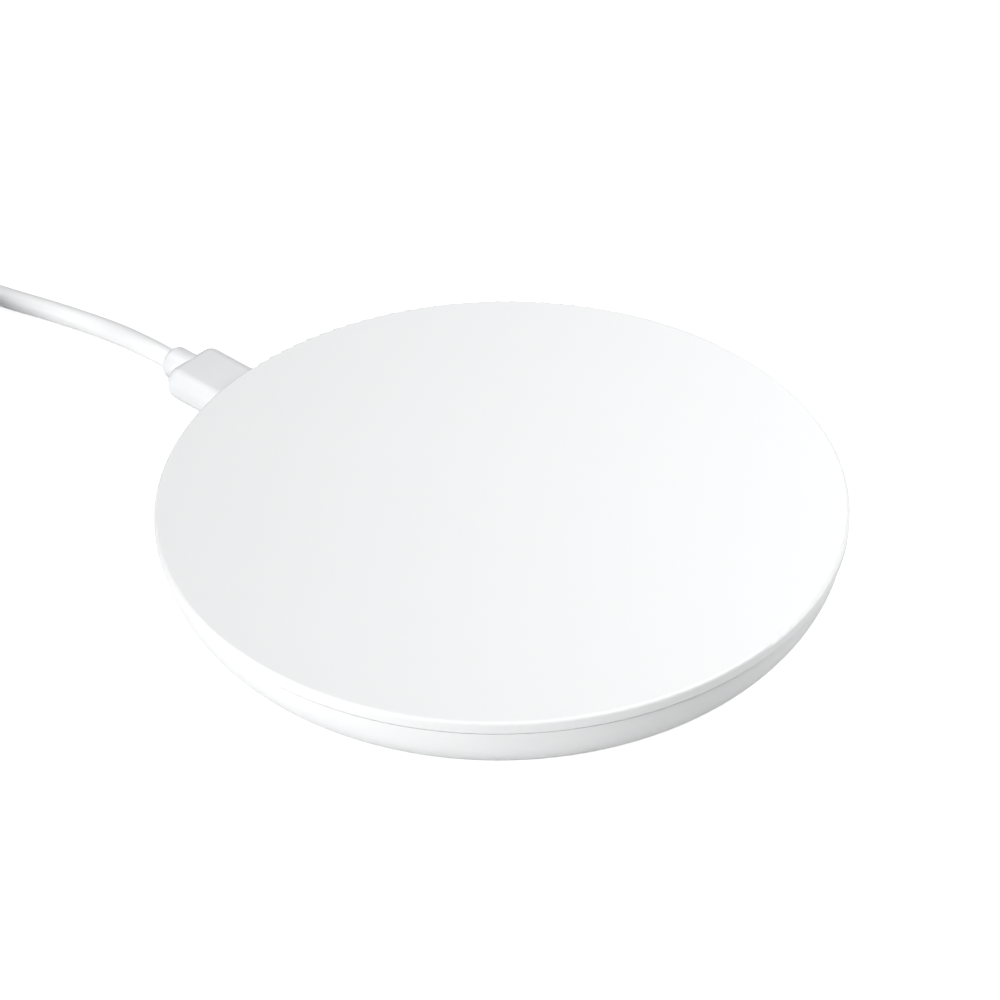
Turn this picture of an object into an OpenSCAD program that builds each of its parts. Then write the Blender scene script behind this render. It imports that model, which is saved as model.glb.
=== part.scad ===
// Round wireless charging pad with a detachable cable.
// Origin: centre of the pad's foot ring, on the table. +Z is up, and the cable plugs in at the back, along +Y.

/* [Pad outside] */
// Diameter of the top cover
pad_d = 100; // [84:1:130]
// Height of the whole pad above the table
pad_h = 11.5; // [10:0.1:15]
// Height of the cover's side band, from the seam to the top face
band_h = 1.75; // [1.2:0.05:2.4]
// How much smaller the base shell's rim is than the cover, all round
rim_step = 0.35; // [0.1:0.05:0.6]
// How far the base shell's side curves in between the seam and the underside
side_pull_in = 4.8; // [2:0.1:7]
// Radius on the cover's top edge
cover_edge_r = 0.5; // [0.2:0.1:1]
// Width of the shadow gap at the seam
seam_gap = 0.45; // [0.2:0.05:0.6]
// Depth of the shadow gap at the seam
seam_gap_depth = 0.6; // [0.2:0.1:0.8]

/* [Walls] */
// Thickness of the cover's top plate
cover_t = 1.4; // [1:0.1:2]
// Thickness of the base shell's side wall
wall_t = 1.5; // [1.2:0.1:2]
// Thickness of the base shell's floor
floor_t = 1.4; // [1.2:0.1:2]
// Thickness of the cover's locating lip
lip_t = 1; // [0.8:0.1:1.4]
// Depth of the cover's locating lip below the seam
lip_h = 1.5; // [1:0.1:2.5]
// Clearance between the lip and the base shell
lip_gap = 0.15; // [0.1:0.05:0.3]

/* [Foot ring] */
// Middle diameter of the foot ring
foot_ring_d = 77; // [64:1:80]
// Width of the foot ring
foot_w = 6; // [5:0.5:8]
// How far the foot ring stands out below the underside
foot_h = 0.6; // [0.3:0.1:1]
// Depth of the foot ring's groove in the underside
groove_h = 0.5; // [0.3:0.1:0.7]
// Clearance between the foot ring and each side of its groove
foot_gap = 0.1; // [0.05:0.05:0.2]

/* [Case screws] */
// Diameter of the case screw's shank
screw_d = 2; // [1.6:0.1:2.6]
// Length of the case screw's shank
screw_l = 6.6; // [5:0.1:8]
// Diameter of the case screw's head
screw_head_d = 3.8; // [3:0.1:4.5]
// Height of the case screw's head
screw_head_h = 1.2; // [0.8:0.1:1.6]
// Diameter of the case screw bosses
boss_d = 6.2; // [5.5:0.1:7]
// Height at which the two bosses meet
boss_meet_z = 5; // [4.5:0.1:6]

/* [Coil stack] */
// Outer diameter of the transmitter coil
coil_d = 50; // [40:1:60]
// Inner diameter of the transmitter coil
coil_hole_d = 20; // [16:1:26]
// Diameter of the coil's stranded wire
coil_wire_d = 1.2; // [0.8:0.1:1.4]
// Number of turns in the coil
coil_turns = 11; // [8:1:12]
// How far the ferrite sheet reaches past the coil, all round
ferrite_margin = 1.5; // [1:0.1:3]
// Thickness of the ferrite sheet
ferrite_t = 0.8; // [0.5:0.1:1]
// Diameter of the hole in the middle of the ferrite and its carrier
centre_hole_d = 8; // [6:1:12]
// Thickness of the adhesive ring between the coil and the cover
tape_t = 0.2; // [0.1:0.05:0.3]
// Thickness of the coil carrier's plate
carrier_t = 0.9; // [0.7:0.1:1.2]
// Thickness of the rim round the ferrite
carrier_rim_t = 0.8; // [0.6:0.1:1.2]
// Diameter of the carrier screw's shank
carrier_screw_d = 1.5; // [1.2:0.1:1.8]

/* [Circuit board] */
// Width of the circuit board
board_w = 40; // [33:0.5:48]
// Length of the circuit board
board_l = 56; // [48:1:68]
// Thickness of the circuit board
board_t = 1; // [0.6:0.1:1.2]
// Gap between the base shell's floor and the board
board_lift = 0.6; // [0.4:0.1:0.9]
// Clearance between the board and the base shell's side wall
board_gap = 0.8; // [0.5:0.1:1.2]
// Diameter of the staking pins that hold the board
stake_d = 1.8; // [1.4:0.1:2.4]

/* [Plug and socket] */
// Height of the socket's axis above the table
socket_z = 3.5; // [3.4:0.1:4.2]
// Width of the plug's metal shell
plug_shell_w = 6.85; // [6.5:0.05:7.2]
// Height of the plug's metal shell
plug_shell_h = 1.8; // [1.7:0.05:2.2]
// Length of the plug's metal shell outside its body
plug_shell_l = 5.6; // [4.8:0.1:6]
// Thickness of the metal of both shells
sheet_t = 0.28; // [0.2:0.01:0.32]
// Sliding clearance round the plug's metal shell
plug_fit = 0.1; // [0.06:0.02:0.16]
// Width of the plug's moulded body
plug_w = 10.6; // [8.8:0.1:12.8]
// Height of the plug's moulded body
plug_h = 5.4; // [4.8:0.1:5.6]
// Length of the plug's moulded body
plug_l = 19.7; // [16:0.1:26]
// Radius on the plug body's long edges
plug_edge_r = 2.2; // [1:0.1:2.3]
// Radius on the plug body's far end
plug_end_r = 1.8; // [0.6:0.1:2]
// Clearance between the plug body and its recess in the base shell
recess_gap = 0.4; // [0.3:0.05:0.6]
// Diameter of the plug's strain relief collar
collar_d = 5.2; // [4.4:0.1:5.4]
// Length of the plug's strain relief collar
collar_l = 3.4; // [2.5:0.1:5]

/* [Cord] */
// Diameter of the cord
cord_d = 3.3; // [3:0.1:3.6]
// Middle radius of the stored coil's turns
coil_mid_r = 17.3; // [16:0.1:20]
// Number of turns beside each other in each of the stored coil's two layers
coil_tracks = 5; // [4:1:6]
// Thickness of the tie round the stored coil
tie_t = 0.5; // [0.4:0.1:0.8]

/* [Supply plug] */
// Width of the supply plug's metal shell
supply_shell_w = 12; // [11.8:0.1:12.2]
// Height of the supply plug's metal shell
supply_shell_h = 4.5; // [4.4:0.1:4.6]
// Length of the supply plug's metal shell
supply_shell_l = 18.5; // [12:0.5:19]
// Width of the supply plug's moulded body
supply_w = 15.4; // [14.5:0.1:16]
// Height of the supply plug's moulded body
supply_h = 7.4; // [7:0.1:8]
// Length of the supply plug's moulded body
supply_l = 22; // [18:0.5:28]
// Length of the supply plug's strain relief
supply_relief_l = 9; // [7:0.5:14]

/* [Hidden] */
$fn = 96;

eps = 0.01;

// Pad outline
pad_r = pad_d / 2;
rim_r = pad_r - rim_step;
base_z = foot_h;
floor_z = base_z + floor_t;
seam_z = pad_h - band_h;
cover_under_z = pad_h - cover_t;
side_drop = seam_z - base_z;
side_arc_r = (side_drop * side_drop + side_pull_in * side_pull_in) / (2 * side_pull_in);
side_arc_x = rim_r - side_arc_r;
lip_r = rim_r - wall_t - lip_gap;

// Radius of the base shell's outer side at a height, and of its inner side
function side_r(z) = side_arc_x + sqrt(pow(side_arc_r, 2) - pow(seam_z - z, 2));
function inner_r(z) = side_arc_x + sqrt(pow(side_arc_r - wall_t, 2) - pow(seam_z - z, 2));

// Case screws, under the foot ring
boss_angles = [30, 150, 270];
groove_top_z = base_z + groove_h;
head_top_z = groove_top_z + screw_head_h + 0.2;
screw_hole_d = screw_d + 0.3;
screw_pilot_d = screw_d - 0.2;
cover_boss_d = boss_d - 1.2;

// Coil stack, hung from the cover
coil_top_z = cover_under_z - tape_t;
ferrite_top_z = coil_top_z - coil_wire_d;
carrier_top_z = ferrite_top_z - ferrite_t;
ferrite_d = coil_d + 2 * ferrite_margin;
coil_pitch = (coil_d - coil_hole_d - 2 * coil_wire_d) / 2 / (coil_turns - 1);
coil_first_r = coil_hole_d / 2 + coil_wire_d / 2;
carrier_d = ferrite_d + 0.4 + 2 * carrier_rim_t;
carrier_ear_r = 2.6;
carrier_post_d = 4;
carrier_screw_r = carrier_d / 2 + carrier_post_d / 2 + 0.4;
carrier_screw_angles = [0, 120, 240];
carrier_head_d = 3;
carrier_head_h = 0.8;
lead_notch_d = 2.4;
inner_lead_angle = 240;
outer_lead_angle = 300;

// Circuit board
board_z = floor_z + board_lift;
board_top_z = board_z + board_t;
board_r = inner_r(board_z) - board_gap;
port_y = side_r(socket_z - plug_h / 2);
port_wall_t = 1.2;
board_back_y = port_y - port_wall_t - 0.3;
board_front_y = board_back_y - board_l;
stake_x = board_w / 2 - 3;
stake_margin = 3;
stake_back_y = sqrt(pow(board_r, 2) - pow(stake_x + stake_margin, 2)) - stake_margin;
stake_spots = [[-stake_x, board_front_y + 3.5], [stake_x, board_front_y + 3.5],
    [-stake_x, stake_back_y], [stake_x, stake_back_y]];
stake_hole_d = stake_d + 0.2;
stake_head_d = stake_d + 1.2;
stake_head_h = 0.6;
lead_spots = [[-4, board_front_y + 6.4], [4, board_front_y + 6.4]];
sensor_spots = [[-0.8, board_front_y + 10], [0.8, board_front_y + 10]];
led_x = 12;
led_z = board_top_z + 1.1;
guide_d = 2;
guide_gap = 0.05;
led_back_y = board_back_y - 2.4;

// Socket: a sheet metal shell round a tongue with contacts on its underside
plug_stand_off = 0.2;
socket_set_back = 0.2;
socket_in_w = plug_shell_w + 2 * plug_fit;
socket_in_h = plug_shell_h + 2 * plug_fit;
socket_w = socket_in_w + 2 * sheet_t;
socket_h = socket_in_h + 2 * sheet_t;
socket_mouth_y = port_y - socket_set_back;
plug_face_y = port_y + plug_stand_off;
plug_end_y = plug_face_y + plug_l;
plug_tip_y = plug_face_y - plug_shell_l;
tongue_root_t = 0.6;
socket_back_y = plug_tip_y - 0.15 - tongue_root_t - sheet_t;
shell_corner_r = 0.5;
tongue_t = 0.42;
tongue_w = 4.2;
contact_pitch = 0.65;
contact_w = 0.36;
contact_count = 5;
contact_xs = [for (i = [0 : contact_count - 1]) (i - (contact_count - 1) / 2) * contact_pitch];
contact_t = 0.1;
contact_gap = 0.05;
tongue_tip_y = port_y - 1.4;
contact_tip_y = tongue_tip_y - 0.4;
recess_w = plug_w + 2 * recess_gap;
recess_h = plug_h + 2 * recess_gap;
recess_frame_t = 1.2;
recess_frame_l = pad_r - port_y + port_wall_t;

// Cord: points along its route, measured from the middle of the collar's end on the table
cord_start = [0, plug_end_y + collar_l, 0];
cord_points = [[0, 0, socket_z], [0, 3.6, socket_z], [0.2, 7.6, 3.1], [0.5, 11.6, 2.5], [0.5, 15.6, 1.95],
    [0, 19.6, 1.7], [-1, 24, 1.7], [-2, 28, 1.7], [-3, 31.6, 1.7], [-4, 35.6, 1.7], [-5.2, 40, 1.7],
    [-6.2, 44, 1.8], [-6.9, 47, 1.9]];
tail_points = [[-57.6, 50, 5.2], [-57.9, 48, 4.8], [-58.4, 44.6, 4.1], [-58.9, 41.1, 3.7], [-59.4, 37.6, 3.7]];
cord_sides = 8;
stored_at = [-32, 51.1, 0];
stored_pitch = cord_d + 0.1;
stored_out_r = coil_mid_r + coil_tracks * stored_pitch / 2;
stored_in_r = coil_mid_r - coil_tracks * stored_pitch / 2;
stored_z = tie_t;
stored_h = 2 * stored_pitch;
tie_angle = 16;
tie_at = 262;

// Supply plug, lying on the table beside the stored coil, in line with the end of the cord
supply_at = tail_points[len(tail_points) - 1];
supply_dir = supply_at - tail_points[len(tail_points) - 2];
supply_heading = atan2(supply_dir.y, supply_dir.x);
supply_relief_d1 = cord_d + 1.6;
supply_relief_d2 = cord_d + 0.5;
supply_sheet_t = 0.3;
supply_tongue_l = supply_shell_l - 0.4;
supply_tongue_t = 1.9;

// A ring section or rounded bar made of squares and circles, centred on the origin
module rounded_box_2d(w, h, r) {
    square([w - 2 * r, h], center = true);
    square([w, h - 2 * r], center = true);
    for (x = [-1, 1], y = [-1, 1])
        translate([x * (w / 2 - r), y * (h / 2 - r)]) circle(r = r);
}

// A bar along +Y with a rounded section, from y = 0 to y = l
module bar_y(w, h, r, l) {
    rotate([-90, 0, 0]) linear_extrude(l) rounded_box_2d(w, h, r);
}

// A hollow bar along +Y, open at both ends
module tube_y(w, h, r, t, l) {
    rotate([-90, 0, 0]) linear_extrude(l) difference() {
        rounded_box_2d(w, h, r);
        rounded_box_2d(w - 2 * t, h - 2 * t, r - t);
    }
}

// A flat block standing on a height, centred on a point
module block(x, y, z, size) {
    translate([x - size.x / 2, y - size.y / 2, z]) cube(size);
}

// A flat washer shape standing on a height
module ring(z, h, d_out, d_in) {
    translate([0, 0, z]) difference() {
        cylinder(h = h, d = d_out);
        translate([0, 0, -eps]) cylinder(h = h + 2 * eps, d = d_in);
    }
}

// Its children, once at each angle round the pad's axis
module round_pad(angles, r) {
    for (a = angles) rotate(a) translate([r, 0, 0]) children();
}

// Direction of a route at one of its points
function heading(p, i) = let (a = p[max(i - 1, 0)], b = p[min(i + 1, len(p) - 1)]) (b - a) / norm(b - a);

// One ring of corners round a route's point, square to a direction. Up is a direction the route never takes.
function route_ring(c, t, r, n, up) = let (side = cross(t, up) / norm(cross(t, up)), top = cross(side, t))
    [for (k = [0 : n - 1]) let (a = 360 * (k + 0.5) / n) c + r * (cos(a) * side + sin(a) * top)];

// A round tube swept along a route
module swept_tube(points, r, n, up = [0, 0, 1]) {
    m = len(points);
    rings = [for (i = [0 : m - 1]) each route_ring(points[i], heading(points, i), r, n, up)];
    sides = [for (i = [0 : m - 2], k = [0 : n - 1])
        [i * n + k, i * n + (k + 1) % n, (i + 1) * n + (k + 1) % n, (i + 1) * n + k]];
    first = [[for (k = [n - 1 : -1 : 0]) k]];
    last = [[for (k = [0 : n - 1]) (m - 1) * n + k]];
    polyhedron(points = rings, faces = concat(sides, first, last));
}

// The walls round the plug's recess, as a block that the base shell trims to its outline
module recess_frame(gap) {
    margin = recess_frame_t + gap;
    block(0, port_y - port_wall_t + recess_frame_l / 2, socket_z - recess_h / 2 - margin,
        [recess_w + 2 * margin, recess_frame_l + 2 * gap, recess_h + 2 * margin]);
}

// The base shell's solid outline, revolved: flat below, with a side that curves up to the seam
module bowl(bottom_z, arc_r, top_z) {
    rotate_extrude($fn = 180) intersection() {
        translate([0, bottom_z]) square([pad_r, top_z - bottom_z]);
        union() {
            square([side_arc_x, pad_h]);
            translate([side_arc_x, seam_z]) circle(r = arc_r);
            translate([0, seam_z]) square([side_arc_x + arc_r, pad_h]);
        }
    }
}

// Top cover: a flat plate with a rounded edge, a locating lip, screw bosses and posts for the coil carrier
module top_cover() {
    color("white") {
        difference() {
            union() {
                rotate_extrude($fn = 180) {
                    translate([0, cover_under_z]) square([pad_r - cover_edge_r, cover_t]);
                    translate([0, cover_under_z]) square([pad_r, cover_t - cover_edge_r]);
                    translate([pad_r - cover_edge_r, pad_h - cover_edge_r]) circle(r = cover_edge_r);
                    translate([lip_r - lip_t, seam_z])
                        square([pad_r - lip_r + lip_t, cover_under_z - seam_z + eps]);
                    translate([lip_r - lip_t, seam_z - lip_h]) square([lip_t, lip_h + eps]);
                }
                round_pad(boss_angles, foot_ring_d / 2)
                    translate([0, 0, boss_meet_z])
                        cylinder(h = cover_under_z - boss_meet_z + eps, d = cover_boss_d);
                round_pad(carrier_screw_angles, carrier_screw_r)
                    translate([0, 0, carrier_top_z])
                        cylinder(h = cover_under_z - carrier_top_z + eps, d = carrier_post_d);
            }
            round_pad(boss_angles, foot_ring_d / 2)
                translate([0, 0, boss_meet_z - eps])
                    cylinder(h = head_top_z + screw_l + 0.4 - boss_meet_z, d = screw_pilot_d);
            round_pad(carrier_screw_angles, carrier_screw_r)
                translate([0, 0, carrier_top_z - eps])
                    cylinder(h = cover_under_z - carrier_top_z - 0.2, d = carrier_screw_d - 0.2);
            recess_frame(lip_gap);
        }
    }
}

// Base shell: a tray with a curved side, a groove for the foot ring, a recess for the plug and its fixings
module base_shell() {
    color("white") {
        difference() {
            union() {
                difference() {
                    bowl(base_z, side_arc_r, seam_z);
                    bowl(floor_z, side_arc_r - wall_t, seam_z + 1);
                }
                intersection() {
                    bowl(base_z, side_arc_r, seam_z);
                    recess_frame(0);
                }
                round_pad(boss_angles, foot_ring_d / 2)
                    translate([0, 0, floor_z - eps]) cylinder(h = boss_meet_z - floor_z + eps, d = boss_d);
                for (p = stake_spots) translate([p.x, p.y, floor_z - eps]) {
                    cylinder(h = board_lift + eps, d = stake_head_d + 1);
                    cylinder(h = board_top_z - floor_z + 2 * eps, d = stake_d);
                    translate([0, 0, board_top_z - floor_z + eps]) cylinder(h = stake_head_h, d = stake_head_d);
                }
            }
            // Shadow gap at the seam
            ring(seam_z - seam_gap, 2 * seam_gap, pad_d, 2 * (rim_r - seam_gap_depth));
            // Groove for the foot ring
            ring(base_z - eps, groove_h + eps, foot_ring_d + foot_w, foot_ring_d - foot_w);
            // Case screw holes, with room for the heads
            round_pad(boss_angles, foot_ring_d / 2) {
                translate([0, 0, base_z]) cylinder(h = head_top_z - base_z, d = screw_head_d + 0.4);
                translate([0, 0, base_z]) cylinder(h = boss_meet_z - base_z + eps, d = screw_hole_d);
            }
            // Recess for the plug's body, and the opening for the socket
            translate([0, port_y, socket_z]) bar_y(recess_w, recess_h, plug_edge_r + recess_gap, 10);
            translate([0, port_y - 3, socket_z])
                bar_y(socket_w + 0.2, socket_h + 0.2, shell_corner_r + sheet_t + 0.1, 6);
            // Hole for the light guide
            translate([led_x, board_back_y, led_z]) rotate([-90, 0, 0])
                cylinder(h = recess_frame_l, d = guide_d + 2 * guide_gap, $fn = 32);
        }
    }
}

// Foot ring: soft, in its groove in the underside, over the case screws
module foot_ring() {
    color("gainsboro")
        ring(0, base_z + groove_h, foot_ring_d + foot_w - 2 * foot_gap, foot_ring_d - foot_w + 2 * foot_gap);
}

// Case screws: driven up through the base shell into the cover
module case_screws() {
    drive_slot = [2.2, 0.5, 0.6];
    color("silver")
        round_pad(boss_angles, foot_ring_d / 2) {
            difference() {
                translate([0, 0, head_top_z - screw_head_h])
                    cylinder(h = screw_head_h, d = screw_head_d, $fn = 48);
                for (a = [0, 90]) rotate(a) block(0, 0, head_top_z - screw_head_h - eps, drive_slot);
            }
            translate([0, 0, head_top_z - eps]) cylinder(h = screw_l, d = screw_d, $fn = 48);
        }
}

// Transmitter coil: turns of stranded wire side by side
module transmit_coil() {
    color("peru")
        for (i = [0 : coil_turns - 1])
            translate([0, 0, ferrite_top_z + coil_wire_d / 2])
                rotate_extrude()
                    translate([coil_first_r + i * coil_pitch, 0]) circle(d = coil_wire_d, $fn = 24);
}

// Coil leads: the inner one goes down the middle hole, and the outer one through a notch in the carrier
module coil_leads() {
    lead_r = coil_wire_d / 2 - 0.1;
    top_z = ferrite_top_z + coil_wire_d / 2;
    low_z = carrier_top_z - carrier_t - 1;
    // Each lead's angle, the radius it starts at, the radius it goes down at, and where it is soldered
    leads = [[inner_lead_angle, coil_hole_d / 2, centre_hole_d / 2 - 1.6, lead_spots[0]],
        [outer_lead_angle, coil_d / 2, coil_d / 2 + 1.4, lead_spots[1]]];
    color("peru")
        for (lead = leads) {
            dir = [cos(lead[0]), sin(lead[0]), 0];
            points = [lead[1] * dir + [0, 0, top_z], lead[2] * dir + [0, 0, top_z],
                lead[2] * dir + [0, 0, low_z],
                [lead[3].x, lead[3].y, board_top_z + 1], [lead[3].x, lead[3].y, board_top_z]];
            swept_tube(points, lead_r, cord_sides, [-dir.y, dir.x, 0]);
        }
}

// Ferrite sheet: under the coil, with notches for the leads
module ferrite_sheet() {
    color("dimgray") difference() {
        ring(carrier_top_z, ferrite_t, ferrite_d, centre_hole_d);
        rotate(outer_lead_angle)
            block(ferrite_d / 2, 0, carrier_top_z - eps,
                [2 * ferrite_margin, lead_notch_d, ferrite_t + 2 * eps]);
    }
}

// Adhesive ring: bonds the coil to the cover
module coil_tape() {
    color("ivory") ring(coil_top_z, tape_t, coil_d - 2, coil_hole_d + 2);
}

// Coil carrier: a plate with a rim round the ferrite and three ears, screwed to the cover
module coil_carrier() {
    plate_z = carrier_top_z - carrier_t;
    color("whitesmoke") difference() {
        union() {
            translate([0, 0, plate_z]) cylinder(h = carrier_t, d = carrier_d);
            ring(carrier_top_z - eps, ferrite_t + eps, carrier_d, carrier_d - 2 * carrier_rim_t);
            round_pad(carrier_screw_angles, carrier_screw_r) {
                translate([0, 0, plate_z]) cylinder(h = carrier_t, r = carrier_ear_r);
                block(-carrier_post_d, 0, plate_z, [2 * carrier_post_d, 2 * carrier_ear_r, carrier_t]);
            }
        }
        translate([0, 0, plate_z - eps]) cylinder(h = carrier_t + 2 * eps, d = centre_hole_d);
        round_pad(carrier_screw_angles, carrier_screw_r) {
            translate([0, 0, plate_z - eps]) cylinder(h = carrier_t + 2 * eps, d = carrier_screw_d + 0.2);
            translate([0, 0, carrier_top_z]) cylinder(h = ferrite_t + 1, d = carrier_post_d + 0.2);
        }
        rotate(outer_lead_angle)
            block(carrier_d / 2, 0, plate_z - eps, [4.4, lead_notch_d, carrier_t + ferrite_t + 2 * eps]);
    }
}

// Carrier screws: hold the carrier to the cover's posts
module carrier_screws() {
    head_z = carrier_top_z - carrier_t - carrier_head_h;
    drive_slot = [1.8, 0.4, 0.4];
    color("silver")
        round_pad(carrier_screw_angles, carrier_screw_r) {
            difference() {
                translate([0, 0, head_z]) cylinder(h = carrier_head_h, d = carrier_head_d, $fn = 48);
                for (a = [0, 90]) rotate(a) block(0, 0, head_z - eps, drive_slot);
            }
            translate([0, 0, head_z + carrier_head_h - eps])
                cylinder(h = cover_under_z - carrier_top_z + carrier_t - 0.6, d = carrier_screw_d, $fn = 48);
        }
}

// Temperature sensor: a bead against the cover in the middle of the coil, on two fine leads
module temperature_sensor() {
    bead_h = 1;
    color("black") {
        translate([0, 0, cover_under_z - bead_h]) cylinder(h = bead_h, d = 3, $fn = 48);
        for (p = sensor_spots)
            swept_tube([[p.x, 0, cover_under_z - bead_h / 2], [p.x, 0, carrier_top_z - carrier_t],
                [p.x, p.y, board_top_z + 1], [p.x, p.y, board_top_z]], 0.2, 6, [1, 0, 0]);
    }
}

// Circuit board: straight sides, a round back edge that follows the shell, and holes for the staking pins
module circuit_board() {
    cut_out_gap = 0.15;
    color("darkgreen") difference() {
        intersection() {
            translate([-board_w / 2, board_front_y, board_z]) cube([board_w, board_l, board_t]);
            translate([0, 0, board_z - 1]) cylinder(h = board_t + 2, r = board_r, $fn = 180);
        }
        for (p = stake_spots)
            translate([p.x, p.y, board_z - eps]) cylinder(h = board_t + 2 * eps, d = stake_hole_d);
        // Cut-out that the socket sinks into
        block(0, board_back_y, board_z - eps,
            [socket_w + 2 * cut_out_gap, 2 * (board_back_y - socket_back_y + cut_out_gap), board_t + 2 * eps]);
    }
}

// Controller chip: a flat square package
module controller_chip() {
    chip = [7, 7, 0.9];
    from_back = 19;
    color("black") block(0, board_back_y - from_back, board_top_z, chip);
}

// Bridge transistors: four power packages, two on each side of the controller
module bridge_transistors() {
    package = [5, 5.8, 1];
    row_x = 8.4;
    from_back = 22;
    pitch = 6.8;
    color("black")
        for (x = [-row_x, row_x], i = [0, 1])
            block(x, board_back_y - from_back + pitch * i, board_top_z, package);
}

// Resonant capacitors: a row of four large ceramic ones at the coil side of the board
module resonant_capacitors() {
    capacitor = [5.7, 5, 2.2];
    pitch = 7;
    from_back = 31;
    color("burlywood")
        for (i = [0 : 3]) block((i - 1.5) * pitch, board_back_y - from_back, board_top_z, capacitor);
}

// Input capacitors: three ceramic ones near the socket
module input_capacitors() {
    capacitor = [3.2, 2.5, 1.6];
    row_x = -15.5;
    from_back = 11.5;
    pitch = 4;
    color("tan")
        for (i = [0 : 2]) block(row_x, board_back_y - from_back - pitch * i, board_top_z, capacitor);
}

// Power inductor: a shielded block with a round core, which feeds the bridge
module power_inductor() {
    can = [6, 6, 2.6];
    core_d = 4;
    gap = 0.3;
    gap_depth = 0.5;
    at = [14.6, board_back_y - 13.5];
    color("dimgray") difference() {
        block(at.x, at.y, board_top_z, can);
        translate([at.x, at.y, board_top_z + can.z - gap_depth])
            ring(0, gap_depth + eps, core_d + 2 * gap, core_d);
    }
}

// Chip resistors: two groups of small parts between the socket and the controller
module chip_resistors() {
    resistor = [1, 0.9, 0.4];
    from_back = 8.2;
    column_x = 4.8;
    column_pitch = 1.4;
    row_pitch = 1.3;
    color("black")
        for (i = [0 : 5], side = [-1, 1])
            block(side * (column_x + column_pitch * (i % 2)),
                board_back_y - from_back - row_pitch * floor(i / 2), board_top_z, resistor);
}

// Clock crystal: a small metal can beside the controller
module clock_crystal() {
    can = [3.2, 2.5, 0.8];
    color("silver") block(14.6, board_back_y - 25, board_top_z, can);
}

// Status light: a side-facing part at the board's back edge, with its lens towards the light guide
module status_led() {
    package = [2.2, 1.6, 2];
    color("lightyellow") block(led_x, led_back_y - package.y / 2, board_top_z, package);
}

// Light guide: a clear rod from the status light to the base shell's side
module light_guide() {
    guide_end_y = sqrt(pow(side_r(led_z - guide_d / 2), 2) - pow(led_x + guide_d / 2, 2)) - 0.1;
    color("azure", 0.6)
        translate([led_x, led_back_y + 0.1, led_z]) rotate([-90, 0, 0])
            cylinder(h = guide_end_y - led_back_y - 0.1, d = guide_d, $fn = 32);
}

// Socket shell: folded sheet metal, open at the back of the pad
module socket_shell() {
    color("silver") translate([0, 0, socket_z]) {
        translate([0, socket_back_y, 0])
            tube_y(socket_w, socket_h, shell_corner_r + sheet_t, sheet_t, socket_mouth_y - socket_back_y);
        translate([0, socket_back_y, 0]) bar_y(socket_w - sheet_t, socket_h - sheet_t, shell_corner_r, sheet_t);
    }
}

// Socket tongue: a moulded blade on a root block that fills the back of the shell
module socket_tongue() {
    root_y = socket_back_y + sheet_t;
    color("black") translate([0, 0, socket_z]) {
        translate([0, root_y, 0]) bar_y(socket_in_w, socket_in_h, shell_corner_r, tongue_root_t);
        block(0, (root_y + tongue_tip_y) / 2, 0, [tongue_w, tongue_tip_y - root_y, tongue_t]);
    }
}

// Socket contacts: flat springs under the tongue
module socket_contacts() {
    contact_l = contact_tip_y - socket_back_y - sheet_t - tongue_root_t;
    color("gold")
        for (x = contact_xs)
            block(x, contact_tip_y - contact_l / 2, socket_z - contact_t, [contact_w, contact_l, contact_t]);
}

// Plug shell: the metal tube that enters the socket
module plug_shell() {
    color("silver") translate([0, plug_tip_y, socket_z])
        tube_y(plug_shell_w, plug_shell_h, shell_corner_r, sheet_t, plug_face_y - plug_tip_y);
}

// Plug core: a moulded insert along the bottom of the plug shell
module plug_core() {
    core_in_h = plug_shell_h / 2 - sheet_t;
    core_top = contact_t + contact_gap + contact_t;
    color("black")
        translate([0, (plug_tip_y + 0.4 + plug_face_y) / 2, socket_z - core_in_h])
            block(0, 0, 0, [plug_shell_w - 2 * shell_corner_r - 2 * sheet_t, plug_face_y - plug_tip_y - 0.4,
                core_in_h - core_top]);
}

// Plug contacts: flat strips on top of the core
module plug_contacts() {
    contact_l = plug_face_y - plug_tip_y - 0.8;
    color("gold")
        for (x = contact_xs)
            block(x, plug_face_y - contact_l / 2, socket_z - contact_t - contact_gap - contact_t,
                [contact_w, contact_l, contact_t]);
}

// Plug body's outline: rounded along its edges and at its far end
module plug_form() {
    translate([0, plug_face_y, socket_z]) intersection() {
        bar_y(plug_w, plug_h, plug_edge_r, plug_l);
        // Plan outline
        translate([0, plug_l / 2 - plug_end_r, -plug_h])
            linear_extrude(2 * plug_h) rounded_box_2d(plug_w, plug_l + 2 * plug_end_r, plug_end_r);
        // Side outline
        rotate([90, 0, 90]) translate([plug_l / 2 - plug_end_r, 0, -plug_w])
            linear_extrude(2 * plug_w) rounded_box_2d(plug_l + 2 * plug_end_r, plug_h, plug_end_r);
    }
}

// Plug body: the moulded grip
module plug_body() {
    color("white") plug_form();
}

// Plug collar: a short round strain relief with a rounded end, moulded onto the body's rounded end
module plug_collar() {
    collar_edge_r = 0.8;
    color("white") difference() {
        translate([0, plug_end_y - plug_end_r, socket_z]) rotate([-90, 0, 0]) rotate_extrude() {
            square([collar_d / 2, plug_end_r + collar_l - collar_edge_r]);
            square([collar_d / 2 - collar_edge_r, plug_end_r + collar_l]);
            translate([collar_d / 2 - collar_edge_r, plug_end_r + collar_l - collar_edge_r])
                circle(r = collar_edge_r, $fn = 48);
        }
        plug_form();
    }
}

// Cord: from the collar down to the table and along it to the stored coil
module cord() {
    color("white") translate(cord_start) swept_tube(cord_points, cord_d / 2, cord_sides);
}

// Stored coil: the outer shape of two layers of turns
module cord_coil() {
    color("white") translate(cord_start + stored_at)
        ring(stored_z, stored_h, 2 * stored_out_r, 2 * stored_in_r);
}

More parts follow.
